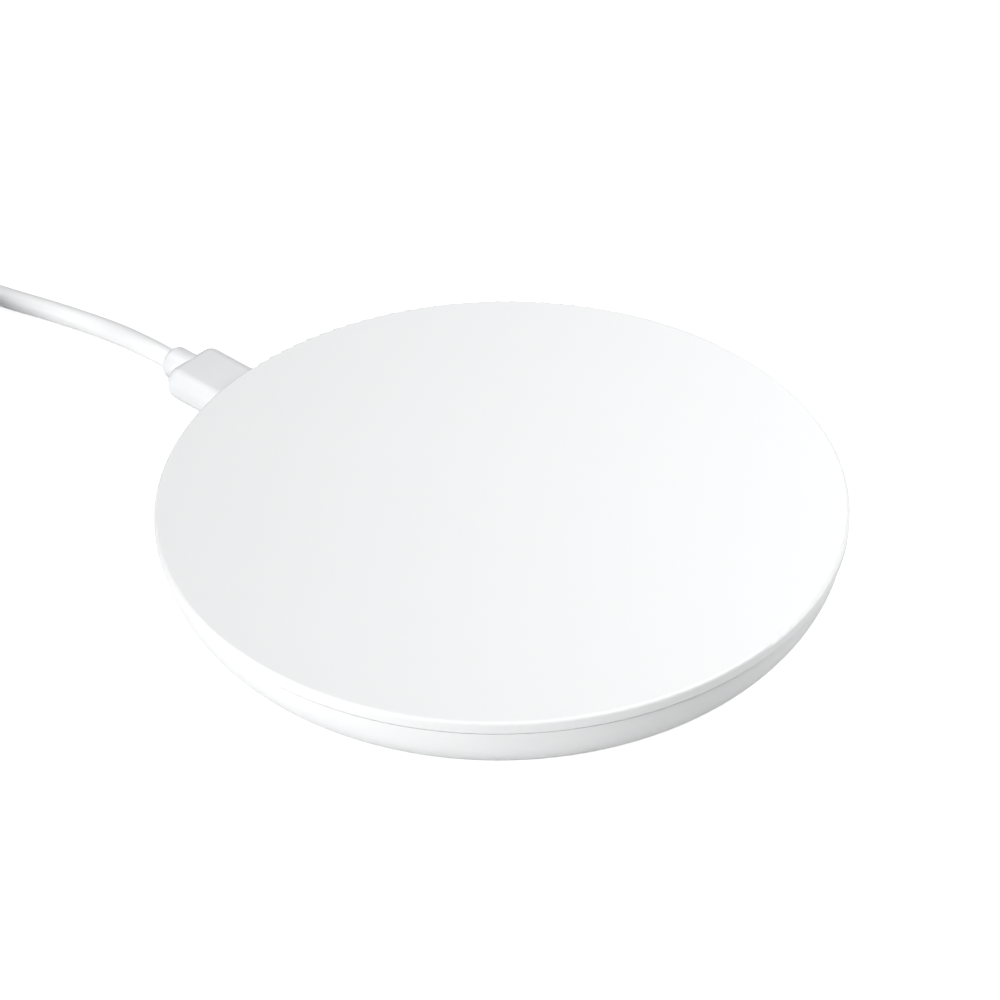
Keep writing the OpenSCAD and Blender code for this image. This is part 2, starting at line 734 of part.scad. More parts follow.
// Cord tie: a strap round the stored coil
module cord_tie() {
    bundle_w = stored_out_r - stored_in_r;
    color("gainsboro") translate(cord_start + stored_at) rotate(tie_at - tie_angle / 2)
        rotate_extrude(angle = tie_angle) difference() {
            translate([stored_in_r - tie_t, 0]) square([bundle_w + 2 * tie_t, stored_h + 2 * tie_t]);
            translate([stored_in_r, stored_z]) square([bundle_w, stored_h]);
        }
}

// Cord tail: from the stored coil to the supply plug
module cord_tail() {
    color("white") translate(cord_start) swept_tube(tail_points, cord_d / 2, cord_sides);
}

// The supply plug's own frame: +Y points from the cord to the plug's tip
module supply_frame() {
    translate(cord_start + supply_at) rotate(supply_heading - 90) children();
}

// Supply relief: a tapered sleeve where the cord enters the supply plug
module supply_relief() {
    color("white") supply_frame() rotate([-90, 0, 0])
        cylinder(h = supply_relief_l, d1 = supply_relief_d2, d2 = supply_relief_d1, $fn = 48);
}

// Supply plug body: the moulded grip
module supply_plug_body() {
    supply_edge_r = 2;
    color("white") supply_frame() translate([0, supply_relief_l, 0]) intersection() {
        bar_y(supply_w, supply_h, supply_edge_r, supply_l);
        translate([0, supply_l / 2, -supply_h])
            linear_extrude(2 * supply_h) rounded_box_2d(supply_w, supply_l, supply_edge_r);
    }
}

// Supply plug shell: a rectangular metal tube with two latch windows in each broad side
module supply_plug_shell() {
    window = 2.4;
    color("silver") supply_frame() translate([0, supply_relief_l + supply_l, 0]) difference() {
        tube_y(supply_shell_w, supply_shell_h, 0.6, supply_sheet_t, supply_shell_l);
        for (x = [-1, 1])
            block(x * 2.5, supply_shell_l - 6.4, -supply_shell_h, [window, window, 2 * supply_shell_h]);
    }
}

// Supply plug tongue: the moulded half that carries the contacts
module supply_plug_tongue() {
    color("white") supply_frame()
        translate([0, supply_relief_l + supply_l, supply_sheet_t - supply_shell_h / 2])
        block(0, supply_tongue_l / 2, 0,
            [supply_shell_w - 2 * supply_sheet_t - 0.7, supply_tongue_l, supply_tongue_t]);
}

// Supply plug contacts: four flat strips on the tongue
module supply_plug_contacts() {
    strip_l = 8;
    color("gold") supply_frame()
        translate([0, supply_relief_l + supply_l, supply_sheet_t - supply_shell_h / 2 + supply_tongue_t])
            for (x = [-3.5, -1, 1, 3.5]) block(x, supply_tongue_l - 1 - strip_l / 2, 0, [1, strip_l, 0.15]);
}

top_cover();
base_shell();
foot_ring();
case_screws();
transmit_coil();
coil_leads();
ferrite_sheet();
coil_tape();
coil_carrier();
carrier_screws();
temperature_sensor();
circuit_board();
controller_chip();
bridge_transistors();
resonant_capacitors();
input_capacitors();
power_inductor();
chip_resistors();
clock_crystal();
status_led();
light_guide();
socket_shell();
socket_tongue();
socket_contacts();
plug_shell();
plug_core();
plug_contacts();
plug_body();
plug_collar();
cord();
cord_coil();
cord_tie();
cord_tail();
supply_relief();
supply_plug_body();
supply_plug_shell();
supply_plug_tongue();
supply_plug_contacts();
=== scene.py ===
import math

import bmesh
import bpy
from mathutils import Matrix, Quaternion, Vector


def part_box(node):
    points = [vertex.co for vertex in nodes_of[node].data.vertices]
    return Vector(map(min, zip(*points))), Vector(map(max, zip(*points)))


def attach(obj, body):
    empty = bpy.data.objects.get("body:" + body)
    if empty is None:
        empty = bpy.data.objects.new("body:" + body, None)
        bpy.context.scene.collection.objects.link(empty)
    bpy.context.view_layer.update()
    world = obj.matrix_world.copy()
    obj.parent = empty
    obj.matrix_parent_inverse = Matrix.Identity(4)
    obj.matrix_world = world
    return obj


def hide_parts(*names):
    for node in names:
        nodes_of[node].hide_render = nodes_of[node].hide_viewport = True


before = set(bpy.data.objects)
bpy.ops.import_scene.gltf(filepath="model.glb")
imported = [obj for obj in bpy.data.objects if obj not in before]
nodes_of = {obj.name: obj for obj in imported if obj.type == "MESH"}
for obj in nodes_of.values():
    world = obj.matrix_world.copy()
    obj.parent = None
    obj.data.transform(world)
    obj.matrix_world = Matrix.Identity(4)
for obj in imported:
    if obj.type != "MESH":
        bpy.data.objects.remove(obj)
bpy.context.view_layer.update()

# Camera: stands to the left of the pad's front, about 0.6 m away, and looks down on it through a long lens.
# The object's middle is in the middle of the view.
camera_turn = math.radians(-47.3)
camera_tilt = math.radians(37.46)
camera_roll = math.radians(-0.88)
camera_distance = 0.597
camera_target = Vector((-0.00033, 0.00006, 0.01124))
camera_back = Vector((math.sin(camera_turn) * math.cos(camera_tilt),
                      -math.cos(camera_turn) * math.cos(camera_tilt), math.sin(camera_tilt)))
camera = bpy.data.objects.new("camera", bpy.data.cameras.new("camera"))
camera.data.lens = 149.4
camera.data.clip_start = 0.01
camera.rotation_mode = "QUATERNION"
camera.location = camera_target + camera_distance * camera_back
camera.rotation_quaternion = (-camera_back).to_track_quat("-Z", "Y") @ Quaternion((0, 0, 1), camera_roll)
bpy.context.scene.collection.objects.link(camera)
bpy.context.scene.camera = camera


# Cord: a soft round jacket over four stranded wires, extruded in one piece. It leaves the plug's collar,
# comes down to the table, and what isn't in use is wound in two flat layers and held by a tie.
def moulded(name, colour, roughness, grain, depth, tone=0.03, soft=0.0):
    """Moulded plastic or rubber: a faintly cloudy colour and a fine, even grain of this size and depth."""
    material = bpy.data.materials.new(name)
    material.use_nodes = True
    tree = material.node_tree
    shader = tree.nodes["Principled BSDF"]
    shader.inputs["Subsurface Weight"].default_value = soft
    shader.inputs["Subsurface Radius"].default_value = (0.0009, 0.0008, 0.0007)
    shader.inputs["Subsurface Scale"].default_value = 1.0
    place = tree.nodes.new("ShaderNodeTexCoord").outputs["Object"]
    cloud = tree.nodes.new("ShaderNodeTexNoise")
    cloud.inputs["Scale"].default_value = 70
    cloud.inputs["Detail"].default_value = 4
    tint = tree.nodes.new("ShaderNodeMix")
    tint.data_type = "RGBA"
    tint.inputs["A"].default_value = (*(c * (1 - tone) for c in colour), 1)
    tint.inputs["B"].default_value = (*colour, 1)
    gloss = tree.nodes.new("ShaderNodeMapRange")
    gloss.inputs["From Min"].default_value = 0.3
    gloss.inputs["From Max"].default_value = 0.7
    gloss.inputs["To Min"].default_value = roughness * 1.08
    gloss.inputs["To Max"].default_value = roughness * 0.92
    speck = tree.nodes.new("ShaderNodeTexNoise")
    speck.inputs["Scale"].default_value = 1 / grain
    speck.inputs["Detail"].default_value = 2
    bump = tree.nodes.new("ShaderNodeBump")
    bump.inputs["Distance"].default_value = depth
    link = tree.links.new
    link(place, cloud.inputs["Vector"])
    link(place, speck.inputs["Vector"])
    link(cloud.outputs["Fac"], tint.inputs["Factor"])
    link(cloud.outputs["Fac"], gloss.inputs["Value"])
    link(tint.outputs["Result"], shader.inputs["Base Color"])
    link(gloss.outputs["Result"], shader.inputs["Roughness"])
    link(speck.outputs["Fac"], bump.inputs["Height"])
    link(bump.outputs["Normal"], shader.inputs["Normal"])
    return material


cord_d = 0.0033
cord_pitch = 0.0034
coil_turns = 4.03
coil_out_r = 0.02415
coil_in_angle = math.radians(15)
coil_out_angle = math.radians(172)
coil_layers_turns = 8 + (coil_out_angle - coil_in_angle) / math.tau
tie_angle = math.radians(262)
tie_t = 0.0005
steps_per_turn = 20
cord_start = Vector((0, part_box("plug_collar")[1].y, 0))
coil_at = cord_start + Vector((-0.032, 0.0511, 0))
cord_route = [(0, 0, 0.0035), (0, 0.0036, 0.0035), (0.0002, 0.0076, 0.0031), (0.0005, 0.0116, 0.0025),
              (0.0005, 0.0156, 0.00195), (0, 0.0196, 0.0017), (-0.001, 0.024, 0.0017),
              (-0.002, 0.028, 0.0017), (-0.003, 0.0316, 0.0017), (-0.004, 0.0356, 0.0017),
              (-0.0052, 0.04, 0.0017), (-0.0062, 0.044, 0.0018), (-0.0069, 0.047, 0.0019)]
tail_route = [(-0.0576, 0.05, 0.0052), (-0.0579, 0.048, 0.0048), (-0.0584, 0.0446, 0.0041),
              (-0.0589, 0.0411, 0.0037), (-0.0594, 0.0376, 0.0037)]


def coil_point(turn):
    """Middle of the cord after so many turns: inwards below, up a layer at the middle, outwards on top."""
    angle = coil_in_angle + math.tau * turn
    inwards = min(turn, coil_turns)
    outwards = max(0.0, turn - (coil_layers_turns - coil_turns))
    radius = coil_out_r - cord_pitch * (inwards - outwards)
    climb = min(max((turn - coil_turns) / (coil_layers_turns - 2 * coil_turns), 0.0), 1.0)
    climb = climb * climb * (3 - 2 * climb)
    rest = tie_t * (1 + math.cos(angle - tie_angle)) / 2
    height = cord_d / 2 + rest + cord_pitch * climb
    return coil_at + Vector((radius * math.cos(angle), radius * math.sin(angle), height))


coil_steps = round(coil_layers_turns * steps_per_turn)
cord_points = [cord_start + Vector(p) for p in cord_route]
cord_points += [coil_point(coil_layers_turns * i / coil_steps) for i in range(coil_steps + 1)]
cord_points += [cord_start + Vector(p) for p in tail_route]
cord_line = bpy.data.curves.new("cord_line", "CURVE")
cord_line.dimensions = "3D"
cord_line.resolution_u = 6
cord_line.bevel_depth = cord_d / 2
cord_line.bevel_resolution = 10
cord_line.use_fill_caps = True
cord_spline = cord_line.splines.new("BEZIER")
cord_spline.bezier_points.add(len(cord_points) - 1)
for knot, place in zip(cord_spline.bezier_points, cord_points):
    knot.co = place
    knot.handle_left_type = knot.handle_right_type = "AUTO"
cord = bpy.data.objects.new("charging_cord", cord_line)
bpy.context.scene.collection.objects.link(cord)
cord_line.materials.append(moulded("cord_jacket", (0.862, 0.868, 0.874), 0.42, 0.0004, 0.00001, soft=0.1))
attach(cord, "cable")
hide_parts("cord", "cord_coil", "cord_tail")

# Plug grip: a hard white block moulded over the plug's metal shell and the soldered wires. All its edges are
# rounded, most of all the long ones, and its front edge is nearly sharp, where it meets the shell.
def add_mesh(name, build, material):
    """Turn a finished bmesh into an object. Its faces point outwards, and flat ones stay flat to the eye."""
    bmesh.ops.recalc_face_normals(build, faces=build.faces)
    for face in build.faces:
        face.smooth = True
    mesh = bpy.data.meshes.new(name)
    build.to_mesh(mesh)
    build.free()
    mesh.materials.append(material)
    made = bpy.data.objects.new(name, mesh)
    bpy.context.scene.collection.objects.link(made)
    made.modifiers.new("even_shading", "WEIGHTED_NORMAL").keep_sharp = True
    return made


def edges_at(build, test):
    """The edges that have both ends where the test says."""
    return [edge for edge in build.edges if all(test(corner.co) for corner in edge.verts)]


def soften(build, edges, radius, segments=6):
    """Round some edges."""
    bmesh.ops.bevel(build, geom=edges, offset=radius, affect="EDGES", segments=segments, profile=0.5,
                    material=-1)


def rounded_bar(width, length, height, edge_r, start_r, end_r):
    """A bar along +Y from y = 0, with rounded long edges and rounded edges round each end."""
    build = bmesh.new()
    bmesh.ops.create_cube(build, size=1, matrix=Matrix.Translation((0, length / 2, 0))
                          @ Matrix.Diagonal((width, length, height, 1)))
    soften(build, [e for e in build.edges if abs(e.verts[0].co.y - e.verts[1].co.y) > length / 2], edge_r, 8)
    soften(build, edges_at(build, lambda p: p.y < 1e-7), start_r, 4)
    soften(build, edges_at(build, lambda p: p.y > length - 1e-7), end_r, 8)
    return build


plug_low, plug_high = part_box("plug_body")
plug_size = plug_high - plug_low
plug_edge_r = 0.0022
plug_front_r = 0.0003
plug_end_r = 0.0018
socket_z = (plug_low.z + plug_high.z) / 2
grip = rounded_bar(*plug_size, plug_edge_r, plug_front_r, plug_end_r)
bmesh.ops.translate(grip, verts=grip.verts, vec=(0, plug_low.y, socket_z))
plug_plastic = moulded("plug_plastic", (0.765, 0.772, 0.785), 0.38, 0.00025, 0.000008, soft=0.05)
plug_grip = add_mesh("plug_grip", grip, plug_plastic)
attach(plug_grip, "cable")
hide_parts("plug_body")


# Plug relief: a short round sleeve moulded in one with the grip, which keeps the cord from folding where it
# leaves. It starts inside the grip's rounded end, and its own end is well rounded.
def turned(outline, steps):
    """A solid turned about +Z from (radius, height) corners that start and end on the axis or make a ring."""
    build = bmesh.new()
    corners = [build.verts.new((radius, 0, height)) for radius, height in outline]
    pairs = list(zip(corners, corners[1:]))
    if outline[0][0] > 0:
        pairs.append((corners[-1], corners[0]))
    edges = [build.edges.new(pair) for pair in pairs]
    bmesh.ops.spin(build, geom=corners + edges, cent=(0, 0, 0), axis=(0, 0, 1), angle=math.tau, steps=steps,
                   use_merge=True)
    bmesh.ops.remove_doubles(build, verts=build.verts, dist=1e-7)
    return build


def ring_edges(build, radius, height):
    """The edges of the circle that a corner of a turned outline has made."""
    return edges_at(build, lambda p: math.hypot(math.hypot(p.x, p.y) - radius, p.z - height) < 1e-7)


lay_along_y = Matrix.Rotation(-math.pi / 2, 4, "X")
relief_r = (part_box("plug_collar")[1].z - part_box("plug_collar")[0].z) / 2
relief_l = cord_start.y - plug_high.y
relief_inside = plug_end_r
relief_end_r = 0.0008
sleeve = turned([(0, -relief_inside), (relief_r, -relief_inside), (relief_r, relief_l), (0, relief_l)], 64)
soften(sleeve, ring_edges(sleeve, relief_r, relief_l), relief_end_r)
bmesh.ops.transform(sleeve, verts=sleeve.verts,
                    matrix=Matrix.Translation((0, plug_high.y, socket_z)) @ lay_along_y)
plug_relief = add_mesh("plug_relief", sleeve, plug_plastic)
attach(plug_relief, "cable")
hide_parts("plug_collar")


# Plug shell and core: a seamless nickel-plated steel tube that goes into the socket. A black moulded core
# along its lower half carries five gold-plated contact strips.
def finish(material, *names):
    """Give a material to CAD pieces."""
    for name in names:
        for slot in nodes_of[name].material_slots:
            slot.material = material


def metal(name, colour, roughness, lines, stretch, depth):
    """Bare or plated metal with drawn, rolled or turned lines. Stretch sets how they run along each axis."""
    material = bpy.data.materials.new(name)
    material.use_nodes = True
    tree = material.node_tree
    shader = tree.nodes["Principled BSDF"]
    shader.inputs["Metallic"].default_value = 1.0
    place = tree.nodes.new("ShaderNodeTexCoord").outputs["Object"]
    run = tree.nodes.new("ShaderNodeMapping")
    run.inputs["Scale"].default_value = stretch
    line = tree.nodes.new("ShaderNodeTexNoise")
    line.inputs["Scale"].default_value = lines
    line.inputs["Detail"].default_value = 3
    stain = tree.nodes.new("ShaderNodeTexNoise")
    stain.inputs["Scale"].default_value = 350
    tint = tree.nodes.new("ShaderNodeMix")
    tint.data_type = "RGBA"
    tint.inputs["A"].default_value = (*(c * 0.93 for c in colour), 1)
    tint.inputs["B"].default_value = (*colour, 1)
    gloss = tree.nodes.new("ShaderNodeMapRange")
    gloss.inputs["To Min"].default_value = roughness * 0.85
    gloss.inputs["To Max"].default_value = roughness * 1.15
    bump = tree.nodes.new("ShaderNodeBump")
    bump.inputs["Distance"].default_value = depth
    link = tree.links.new
    link(place, run.inputs["Vector"])
    link(run.outputs["Vector"], line.inputs["Vector"])
    link(place, stain.inputs["Vector"])
    link(stain.outputs["Fac"], tint.inputs["Factor"])
    link(line.outputs["Fac"], gloss.inputs["Value"])
    link(tint.outputs["Result"], shader.inputs["Base Color"])
    link(gloss.outputs["Result"], shader.inputs["Roughness"])
    link(line.outputs["Fac"], bump.inputs["Height"])
    link(bump.outputs["Normal"], shader.inputs["Normal"])
    return material


connector_steel = metal("connector_steel", (0.78, 0.77, 0.75), 0.26, 2500, (1, 0.04, 1), 0.0000004)
contact_gold = metal("contact_gold", (0.95, 0.71, 0.32), 0.2, 4000, (1, 0.1, 1), 0.000001)
connector_black = moulded("connector_black", (0.025, 0.025, 0.027), 0.45, 0.00012, 0.000004, tone=0.2)
finish(connector_steel, "plug_shell")
finish(contact_gold, "plug_contacts")
finish(connector_black, "plug_core")


# Cord strap: a hook-and-loop cable tie drawn tight round the wound cord. Its free end laps over the top and
# is pressed down. The strap is pale woven tape with a napped face.
def napped(name, colour, thread, depth):
    """Woven tape under a nap of fine loops."""
    material = bpy.data.materials.new(name)
    material.use_nodes = True
    tree = material.node_tree
    shader = tree.nodes["Principled BSDF"]
    shader.inputs["Roughness"].default_value = 0.9
    shader.inputs["Sheen Weight"].default_value = 0.3
    shader.inputs["Sheen Roughness"].default_value = 0.5
    place = tree.nodes.new("ShaderNodeTexCoord").outputs["Object"]
    loops = tree.nodes.new("ShaderNodeTexVoronoi")
    loops.inputs["Scale"].default_value = 1 / thread
    fuzz = tree.nodes.new("ShaderNodeTexNoise")
    fuzz.inputs["Scale"].default_value = 4 / thread
    fuzz.inputs["Detail"].default_value = 3
    nap = tree.nodes.new("ShaderNodeMath")
    nap.operation = "ADD"
    tint = tree.nodes.new("ShaderNodeMix")
    tint.data_type = "RGBA"
    tint.inputs["A"].default_value = (*colour, 1)
    tint.inputs["B"].default_value = (*(c * 0.7 for c in colour), 1)
    bump = tree.nodes.new("ShaderNodeBump")
    bump.inputs["Distance"].default_value = depth
    link = tree.links.new
    link(place, loops.inputs["Vector"])
    link(place, fuzz.inputs["Vector"])
    link(loops.outputs["Distance"], tint.inputs["Factor"])
    link(loops.outputs["Distance"], nap.inputs[0])
    link(fuzz.outputs["Fac"], nap.inputs[1])
    link(tint.outputs["Result"], shader.inputs["Base Color"])
    link(nap.outputs["Value"], bump.inputs["Height"])
    link(bump.outputs["Normal"], shader.inputs["Normal"])
    return material


cords_across = 5
cords_high = 2
strap_w = 0.0048
strap_corner_r = 0.0022
strap_edge_r = 0.00012
bundle_w = cords_across * cord_pitch
bundle_h = cords_high * cord_pitch
strap_mid_r = coil_out_r - (cords_across - 1) / 2 * cord_pitch
strap = bmesh.new()
bmesh.ops.create_cube(strap, size=1,
                      matrix=Matrix.Diagonal((bundle_w + 2 * tie_t, strap_w, bundle_h + 2 * tie_t, 1)))
bmesh.ops.delete(strap, geom=[f for f in strap.faces if abs(f.normal.y) > 0.5], context="FACES_ONLY")
soften(strap, [e for e in strap.edges if not e.is_boundary], strap_corner_r, 8)
bmesh.ops.recalc_face_normals(strap, faces=strap.faces)
bmesh.ops.solidify(strap, geom=strap.faces[:], thickness=tie_t)
lap_l = 0.011
lap_t = 0.0005
lap_shift = 0.0015
lap_end_r = strap_w * 0.45
sharp_turn = 1.2
lap = bmesh.ops.create_cube(strap, size=1,
                            matrix=Matrix.Translation((lap_shift, 0, bundle_h / 2 + tie_t + lap_t / 2))
                            @ Matrix.Diagonal((lap_l, strap_w, lap_t, 1)))["verts"]
lap_end = [e for e in {e for v in lap for e in v.link_edges}
           if abs(e.verts[0].co.z - e.verts[1].co.z) > lap_t / 2 and e.verts[0].co.x > 0]
soften(strap, lap_end, lap_end_r, 8)
soften(strap, [e for e in strap.edges if len(e.link_faces) == 2 and e.calc_face_angle() > sharp_turn],
       strap_edge_r, 2)
bmesh.ops.transform(strap, verts=strap.verts, matrix=Matrix.Translation(coil_at)
                    @ Matrix.Rotation(tie_angle, 4, "Z")
                    @ Matrix.Translation((strap_mid_r, 0, tie_t + bundle_h / 2)))
cord_strap = add_mesh("cord_strap", strap, napped("tie_strap", (0.62, 0.62, 0.63), 0.0004, 0.00008))
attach(cord_strap, "cable")
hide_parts("cord_tie")

# Supply plug: a white moulded grip with a ribbed, tapered relief at the cord, on a nickel-plated steel shell
# with latch windows. The half tongue in the shell carries four gold-plated strips.
supply_at = cord_start + Vector(tail_route[-1])
supply_run = Vector(tail_route[-1]) - Vector(tail_route[-2])
supply_place = (Matrix.Translation(supply_at)
                @ Matrix.Rotation(math.atan2(supply_run.y, supply_run.x) - math.pi / 2, 4, "Z"))
supply_relief_l = 0.009
supply_relief_r1 = 0.0019
supply_relief_r2 = 0.00245
supply_relief_edge_r = 0.0002
rib_count = 4
rib_gap = 0.0005
rib_depth = 0.00035
rib_edge_r = 0.00008
rib_turn = 0.5
first_rib_y = 0.001
relief_line = [(0, 0), (supply_relief_r1, 0)]
for rib in range(1, rib_count + 1):
    rib_y = supply_relief_l * rib / (rib_count + 1)
    rib_r = supply_relief_r1 + (supply_relief_r2 - supply_relief_r1) * rib / (rib_count + 1)
    relief_line += [(rib_r, rib_y - rib_gap), (rib_r - rib_depth, rib_y - rib_gap / 2),
                    (rib_r - rib_depth, rib_y + rib_gap / 2), (rib_r, rib_y + rib_gap)]
relief_line += [(supply_relief_r2, supply_relief_l), (0, supply_relief_l)]
sleeve = turned(relief_line, 64)
soften(sleeve, ring_edges(sleeve, supply_relief_r1, 0), supply_relief_edge_r, 4)
rib_edges = [e for e in sleeve.edges
             if e.calc_face_angle() > rib_turn and abs(e.verts[0].co.z - e.verts[1].co.z) < 1e-7
             and first_rib_y < e.verts[0].co.z < supply_relief_l - 1e-6]
soften(sleeve, rib_edges, rib_edge_r, 3)
bmesh.ops.transform(sleeve, verts=sleeve.verts, matrix=supply_place @ lay_along_y)
supply_sleeve = add_mesh("supply_sleeve", sleeve, plug_plastic)
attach(supply_sleeve, "cable")
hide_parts("supply_relief")

supply_size = (0.0154, 0.022, 0.0074)
supply_edge_r = 0.002
supply_end_r = 0.0012
supply_front_r = 0.0004
grip = rounded_bar(*supply_size, supply_edge_r, supply_end_r, supply_front_r)
bmesh.ops.transform(grip, verts=grip.verts, matrix=supply_place @ Matrix.Translation((0, supply_relief_l, 0)))
supply_grip = add_mesh("supply_grip", grip, plug_plastic)
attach(supply_grip, "cable")
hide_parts("supply_plug_body")
finish(connector_steel, "supply_plug_shell")
finish(contact_gold, "supply_plug_contacts")
finish(moulded("tongue_plastic", (0.8, 0.8, 0.79), 0.4, 0.0002, 0.000005), "supply_plug_tongue")

# Base shell: the white lower half, moulded in ABS with a fine spark-eroded texture. Its sides curve in to the
# underside, it has a recess for the plug at the back, and it takes the screws from below.
case_white = (0.834, 0.84, 0.845)
base_plastic = moulded("shell_plastic", case_white, 0.42, 0.0003, 0.000008, soft=0.05)
finish(base_plastic, "base_shell")

# Foot ring: one soft silicone ring pressed into a groove in the underside, over the screws. Its lower edges
# are rounded, so that it grips a table without a mark.
foot_w = 0.0058
foot_edge_r = 0.0003
foot_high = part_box("foot_ring")[1]
foot_in_r = foot_high.x - foot_w
foot = turned([(foot_in_r, 0), (foot_high.x, 0), (foot_high.x, foot_high.z), (foot_in_r, foot_high.z)], 180)
soften(foot, ring_edges(foot, foot_high.x, 0) + ring_edges(foot, foot_in_r, 0), foot_edge_r, 4)
foot_silicone = moulded("foot_silicone", (0.6, 0.6, 0.61), 0.62, 0.0002, 0.000008, tone=0.08, soft=0.2)
silicone_ring = add_mesh("silicone_ring", foot, foot_silicone)
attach(silicone_ring, "root")
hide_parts("foot_ring")

# Screws: zinc-plated steel. Three long ones hold the case together from under the foot ring, and three short
# ones hold the coil carrier to the cover.
screw_steel = metal("screw_steel", (0.66, 0.67, 0.69), 0.32, 1800, (1, 1, 0.3), 0.000004)
finish(screw_steel, "case_screws", "carrier_screws")


# Circuit board: glass-filled laminate under green solder mask, over a pattern of copper tracks. It drops over
# four pins of the base shell, whose ends are melted down into heads.
def solder_mask(name, mask, track, pitch, depth):
    """Green mask over copper: tracks show through as a lighter, slightly raised pattern."""
    material = bpy.data.materials.new(name)
    material.use_nodes = True
    tree = material.node_tree
    shader = tree.nodes["Principled BSDF"]
    shader.inputs["Roughness"].default_value = 0.3
    shader.inputs["Coat Weight"].default_value = 0.4
    place = tree.nodes.new("ShaderNodeTexCoord").outputs["Object"]
    tracks = tree.nodes.new("ShaderNodeTexBrick")
    tracks.inputs["Scale"].default_value = 1 / pitch
    tracks.inputs["Mortar Size"].default_value = 0.09
    tracks.inputs["Brick Width"].default_value = 2.3
    tracks.inputs["Row Height"].default_value = 0.7
    patch = tree.nodes.new("ShaderNodeTexNoise")
    patch.inputs["Scale"].default_value = 0.3 / pitch
    drawn = tree.nodes.new("ShaderNodeMapRange")
    drawn.inputs["From Min"].default_value = 0.46
    drawn.inputs["From Max"].default_value = 0.48
    here = tree.nodes.new("ShaderNodeMath")
    here.operation = "MULTIPLY"
    tint = tree.nodes.new("ShaderNodeMix")
    tint.data_type = "RGBA"
    tint.inputs["A"].default_value = (*mask, 1)
    tint.inputs["B"].default_value = (*track, 1)
    bump = tree.nodes.new("ShaderNodeBump")
    bump.inputs["Distance"].default_value = depth
    link = tree.links.new
    link(place, tracks.inputs["Vector"])
    link(place, patch.inputs["Vector"])
    link(patch.outputs["Fac"], drawn.inputs["Value"])
    link(tracks.outputs["Fac"], here.inputs[0])
    link(drawn.outputs["Result"], here.inputs[1])
    link(here.outputs["Value"], tint.inputs["Factor"])
    link(here.outputs["Value"], bump.inputs["Height"])
    link(tint.outputs["Result"], shader.inputs["Base Color"])
    link(bump.outputs["Normal"], shader.inputs["Normal"])
    return material


board_laminate = solder_mask("board_laminate", (0.008, 0.07, 0.03), (0.03, 0.2, 0.08), 0.0009, 0.00003)
finish(board_laminate, "circuit_board")

# Chips and transistors: black filled epoxy packages, soldered to the board. The inductor is pressed iron
# powder, a little greyer and coarser.
chip_epoxy = moulded("chip_package", (0.02, 0.02, 0.021), 0.55, 0.00008, 0.000006, tone=0.3)
finish(chip_epoxy, "controller_chip", "bridge_transistors", "chip_resistors", "temperature_sensor")
finish(moulded("pressed_iron", (0.06, 0.06, 0.062), 0.6, 0.00015, 0.00001, tone=0.35), "power_inductor")

# Capacitors and crystal: fired ceramic blocks, tan and slightly mottled, and a plated can for the crystal.
ceramic = moulded("ceramic_part", (0.42, 0.27, 0.16), 0.5, 0.0001, 0.000006, tone=0.25)
finish(ceramic, "resonant_capacitors", "input_capacitors")
finish(connector_steel, "clock_crystal")

# Status light and guide: a pale side-facing light part on the board's back edge, and a clear acrylic rod that
# takes its light to the base shell's side.
finish(moulded("light_part", (0.75, 0.72, 0.5), 0.3, 0.0002, 0.000003), "status_led")
guide_clear = moulded("guide_clear", (0.95, 0.96, 0.97), 0.12, 0.0004, 0.000003, tone=0.01)
guide_clear.node_tree.nodes["Principled BSDF"].inputs["Transmission Weight"].default_value = 0.6
finish(guide_clear, "light_guide")

# Socket: a folded, nickel-plated steel shell soldered into a cut-out of the board. A black moulded tongue
# inside carries five gold-plated springs on its underside.
finish(connector_steel, "socket_shell")
finish(connector_black, "socket_tongue")
finish(contact_gold, "socket_contacts")


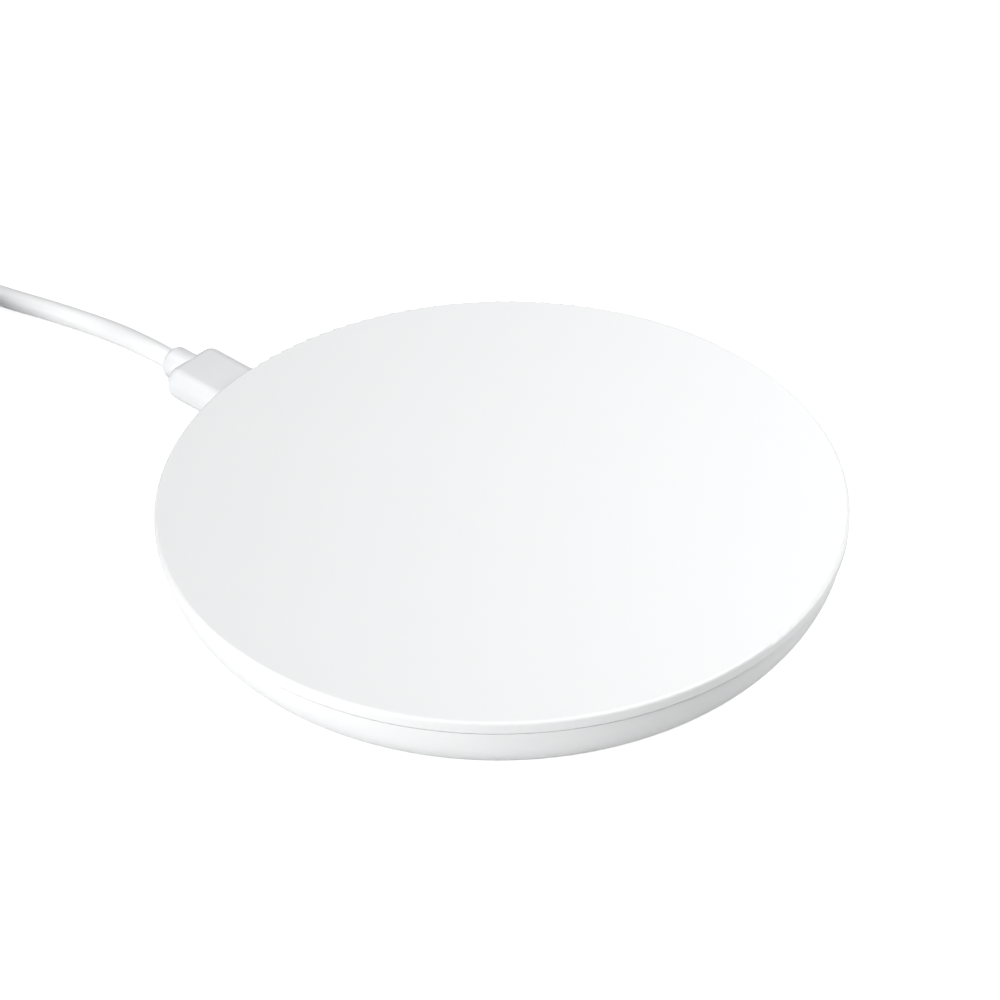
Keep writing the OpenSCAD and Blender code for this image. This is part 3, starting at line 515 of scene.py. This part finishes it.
# Transmitter coil and its leads: enamelled copper wire of many twisted strands, wound flat and bonded. The
# strands show as a fine slanting pattern along each turn: a bump, with painted shade darker in the grooves
# between them.
def stranded(name, colour, strand, depth):
    """Twisted strands of enamelled wire that run round the pad's axis, with painted shade darkening the
    copper in the grooves between strands.
    """
    material = bpy.data.materials.new(name)
    material.use_nodes = True
    tree = material.node_tree
    shader = tree.nodes["Principled BSDF"]
    shader.inputs["Metallic"].default_value = 0.9
    shader.inputs["Coat Weight"].default_value = 0.5
    shader.inputs["Roughness"].default_value = 0.35
    place = tree.nodes.new("ShaderNodeTexCoord").outputs["Object"]
    parts = tree.nodes.new("ShaderNodeSeparateXYZ")
    angle = tree.nodes.new("ShaderNodeMath")
    angle.operation = "ARCTAN2"
    twist = tree.nodes.new("ShaderNodeMath")
    twist.operation = "MULTIPLY_ADD"
    twist.inputs[1].default_value = 0.018 / strand
    rise = tree.nodes.new("ShaderNodeMath")
    rise.operation = "MULTIPLY"
    rise.inputs[1].default_value = 2 / strand
    wave = tree.nodes.new("ShaderNodeMath")
    wave.operation = "SINE"
    groove_shade_and_relief = tree.nodes.new("ShaderNodeMapRange")
    groove_shade_and_relief.inputs["From Min"].default_value = -1
    tint = tree.nodes.new("ShaderNodeMix")
    tint.data_type = "RGBA"
    # Painted shade: where the strand bump is low, in the grooves between strands, the copper is darkened to
    # 55%.
    tint.inputs["A"].default_value = (*(c * 0.55 for c in colour), 1)
    tint.inputs["B"].default_value = (*colour, 1)
    bump = tree.nodes.new("ShaderNodeBump")
    bump.inputs["Distance"].default_value = depth
    link = tree.links.new
    link(place, parts.inputs["Vector"])
    link(parts.outputs["Y"], angle.inputs[0])
    link(parts.outputs["X"], angle.inputs[1])
    link(parts.outputs["Z"], rise.inputs[0])
    link(angle.outputs["Value"], twist.inputs[0])
    link(rise.outputs["Value"], twist.inputs[2])
    link(twist.outputs["Value"], wave.inputs[0])
    link(wave.outputs["Value"], groove_shade_and_relief.inputs["Value"])
    link(groove_shade_and_relief.outputs["Result"], tint.inputs["Factor"])
    link(groove_shade_and_relief.outputs["Result"], bump.inputs["Height"])
    link(tint.outputs["Result"], shader.inputs["Base Color"])
    link(bump.outputs["Normal"], shader.inputs["Normal"])
    return material


finish(stranded("coil_copper", (0.72, 0.34, 0.17), 0.0001, 0.00002), "transmit_coil", "coil_leads")

# Coil stack: a dark sintered ferrite sheet under the coil, a thin adhesive ring that bonds the coil to the
# cover, and a plain white moulded carrier screwed to the cover's posts.
finish(moulded("ferrite", (0.045, 0.045, 0.05), 0.5, 0.0002, 0.000015, tone=0.3), "ferrite_sheet")
finish(moulded("adhesive", (0.75, 0.72, 0.62), 0.35, 0.0006, 0.00002, tone=0.1), "coil_tape")
finish(moulded("inner_plastic", (0.72, 0.73, 0.73), 0.5, 0.0004, 0.00001), "coil_carrier")

# Top cover: the plate that the phone lies on, with a fine rounded rim. It is the same white plastic as the
# base, with a smoother satin face, and covers the coil without a window.
finish(moulded("cover_plastic", case_white, 0.4, 0.0003, 0.000006, soft=0.05), "top_cover")

# Floor and light: a white paper table that runs on past the view and shows hardly any shadow, in a pale room
# that gives no light of its own. A large, low panel stands at the left, a small high one beyond it, and a
# near one at the right.
table_half = 4
table_glow = 0.85
room_tone = 0.94
floor_mesh = bpy.data.meshes.new("floor")
floor = bpy.data.objects.new("floor", floor_mesh)
bpy.context.scene.collection.objects.link(floor)
build = bmesh.new()
bmesh.ops.create_grid(build, x_segments=1, y_segments=1, size=table_half)
build.to_mesh(floor_mesh)
build.free()
table_paper = moulded("table_paper", (0.7, 0.7, 0.7), 0.8, 0.002, 0.00001, tone=0.0)
paper_shader = table_paper.node_tree.nodes["Principled BSDF"]
paper_shader.inputs["Emission Color"].default_value = (table_glow, table_glow, table_glow, 1)
paper_view = table_paper.node_tree.nodes.new("ShaderNodeLightPath").outputs["Is Camera Ray"]
table_paper.node_tree.links.new(paper_view, paper_shader.inputs["Emission Strength"])
floor_mesh.materials.append(table_paper)


def panel(name, turn, tilt, distance, width, power):
    """A round soft panel that faces the pad. Turn goes round from the camera towards the right."""
    turn, tilt = math.radians(turn) + camera_turn, math.radians(tilt)
    towards = Vector((math.sin(turn) * math.cos(tilt), -math.cos(turn) * math.cos(tilt), math.sin(tilt)))
    light = bpy.data.lights.new(name, "AREA")
    light.shape = "DISK"
    light.size = width
    light.energy = power
    lamp = bpy.data.objects.new(name, light)
    bpy.context.scene.collection.objects.link(lamp)
    lamp.location = distance * towards
    lamp.rotation_mode = "QUATERNION"
    lamp.rotation_quaternion = (-towards).to_track_quat("-Z", "Y")


panel("low_panel", -51, 11, 1.4, 0.7, 19.4)
panel("left_panel", -100, 60, 0.9, 0.35, 1.55)
panel("near_panel", 90, 58, 0.40, 0.35, 1.78)

world = bpy.data.worlds.new("room")
bpy.context.scene.world = world
world.use_nodes = True
backdrop = world.node_tree.nodes["Background"]
backdrop.inputs["Color"].default_value = (room_tone, room_tone, room_tone, 1)
room_view = world.node_tree.nodes.new("ShaderNodeLightPath").outputs["Is Camera Ray"]
world.node_tree.links.new(room_view, backdrop.inputs["Strength"])
bpy.context.scene.view_settings.view_transform = "Standard"
